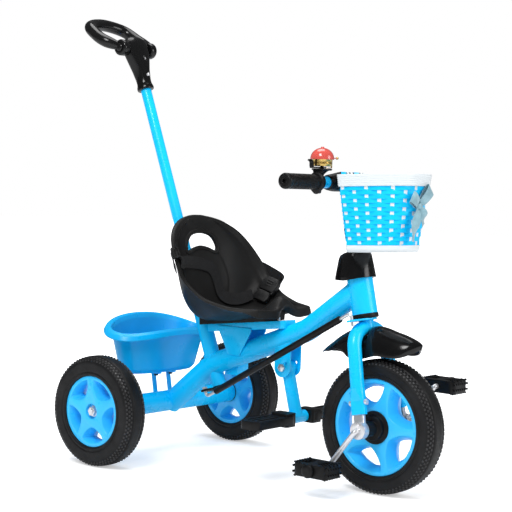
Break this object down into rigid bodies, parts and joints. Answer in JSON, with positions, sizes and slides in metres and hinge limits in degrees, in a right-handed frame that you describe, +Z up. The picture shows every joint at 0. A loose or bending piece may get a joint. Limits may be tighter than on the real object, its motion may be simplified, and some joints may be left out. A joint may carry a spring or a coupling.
{
  "type": "toddler push along trike",
  "caption": "Steel-framed toddler tricycle with bucket seat, rear tub, front basket, pedalled front wheel and a parent's push bar that steers the fork through a link rod.",
  "frame": {"origin": "on the floor under the middle of the trike's whole box", "axes": "+X forward (the way the child faces), +Y to the child's left, +Z up"},
  "size_m": [0.899, 0.47, 0.9124],
  "materials": {
    "azure_paint": "gloss powder coat",
    "tub_plastic": "moulded, semi-gloss",
    "rim_plastic": "moulded, semi-gloss",
    "tyre_foam": "matt moulded foam rubber",
    "black_plastic": "fine-grained",
    "bright_steel": "zinc plated",
    "white_plastic": "moulded",
    "weave_plastic": "woven strips",
    "red_paint": "gloss",
    "brass_cup": "polished",
    "webbing": "woven polyester",
    "ribbon": "satin ribbon"
  },
  "bodies": {
    "frame": {"main_tube": "azure_paint", "head_tube": "azure_paint", "rear_cross_tube": "azure_paint", "push_socket": "azure_paint", "steering_bushes": "black_plastic", "seat_rail": "azure_paint", "seat_bracket": "azure_paint", "footrest_bracket": "azure_paint", "tub_legs": "azure_paint", "rear_tub": "tub_plastic", "tub_screws": "black_plastic", "rear_axle": "bright_steel", "axle_end_plugs": "black_plastic", "axle_nuts": "bright_steel", "lower_head_cup": "black_plastic", "seat_shell": "black_plastic", "seat_bolts": "bright_steel", "harness_straps": "webbing", "buckle": "black_plastic", "footrest_bolt": "bright_steel"},
    "steering": {"fork": "azure_paint", "steerer": "azure_paint", "steering_arm": "azure_paint", "axle_hangers": "bright_steel", "fork_bolts": "bright_steel", "mudguard": "black_plastic", "head_cover": "black_plastic", "handlebar": "azure_paint", "bar_pad": "black_plastic", "grip_right": "black_plastic", "grip_left": "black_plastic", "bell_base": "black_plastic", "bell_cup": "brass_cup", "bell_dome": "red_paint", "basket_frame": "white_plastic", "basket_wall": "weave_plastic", "basket_bracket": "black_plastic", "ribbon_bow": "ribbon"},
    "bell_lever": {"bell_lever": "red_paint"},
    "front_wheel": {"front_tyre": "tyre_foam", "front_rim": "rim_plastic", "front_hub": "black_plastic", "crank": "bright_steel"},
    "pedal_right": {"pedal_right": "black_plastic"},
    "pedal_left": {"pedal_left": "black_plastic"},
    "rear_wheel_right": {"rear_tyre_right": "tyre_foam", "rear_rim_right": "rim_plastic"},
    "rear_wheel_left": {"rear_tyre_left": "tyre_foam", "rear_rim_left": "rim_plastic"},
    "push_bar": {"push_bar": "azure_paint", "handle_neck": "black_plastic", "handle_pin": "bright_steel", "lever_arm": "black_plastic"},
    "snap_button": {"snap_button": "bright_steel"},
    "handle": {"push_handle": "black_plastic"},
    "link": {"link_rod": "bright_steel", "link_sleeve": "black_plastic"},
    "footrest": {"footrest_strut": "azure_paint", "footrest_pegs": "black_plastic"}
  },
  "joints": [
    {"name": "steer", "type": "hinge", "parent": "frame", "child": "steering", "pos_m": [0.32447, 0, 0.125], "axis": [-0.2215, 0, 0.9751], "range_deg": [-30, 30]},
    {"name": "push_bar_turn", "type": "hinge", "parent": "frame", "child": "push_bar", "pos_m": [-0.08953, 0, 0.19766], "axis": [-0.3567, 0, 0.9342], "range_deg": [-30, 30]},
    {"name": "link_swing", "type": "hinge", "parent": "push_bar", "child": "link", "pos_m": [-0.06652, -0.04697, 0.13741], "axis": [-0.3567, 0, 0.9342], "range_deg": [-30, 30]},
    {"name": "front_wheel_spin", "type": "hinge", "parent": "steering", "child": "front_wheel", "pos_m": [0.32447, 0, 0.125], "axis": [0, 1, 0], "continuous": true},
    {"name": "pedal_right_spin", "type": "hinge", "parent": "front_wheel", "child": "pedal_right", "pos_m": [0.26783, -0.1205, 0.0525], "axis": [0, 1, 0], "continuous": true},
    {"name": "pedal_left_spin", "type": "hinge", "parent": "front_wheel", "child": "pedal_left", "pos_m": [0.38111, 0.1205, 0.1975], "axis": [0, 1, 0], "continuous": true},
    {"name": "rear_wheel_right_spin", "type": "hinge", "parent": "frame", "child": "rear_wheel_right", "pos_m": [-0.20653, -0.209, 0.109], "axis": [0, 1, 0], "continuous": true},
    {"name": "rear_wheel_left_spin", "type": "hinge", "parent": "frame", "child": "rear_wheel_left", "pos_m": [-0.20653, 0.209, 0.109], "axis": [0, 1, 0], "continuous": true},
    {"name": "handle_tilt", "type": "hinge", "parent": "push_bar", "child": "handle", "pos_m": [-0.33639, 0, 0.84413], "axis": [0, 1, 0], "range_deg": [-60, 45]},
    {"name": "snap_button_press", "type": "slide", "parent": "push_bar", "child": "snap_button", "axis": [-0.9342, 0, -0.3567], "range_m": [0, 0.003], "stiffness_N_per_m": 400},
    {"name": "footrest_fold", "type": "hinge", "parent": "frame", "child": "footrest", "pos_m": [0.09947, 0, 0.211], "axis": [0, 1, 0], "range_deg": [0, 45]},
    {"name": "bell_lever_press", "type": "hinge", "parent": "steering", "child": "bell_lever", "pos_m": [0.22278, -0.076, 0.6], "axis": [0, 0, 1], "range_deg": [0, 35], "stiffness_Nm_per_rad": 0.05}
  ],
  "couplings": [
    {"joint": "push_bar_turn", "follows": "steer", "ratio": 1},
    {"joint": "link_swing", "follows": "steer", "ratio": -1}
  ]
}
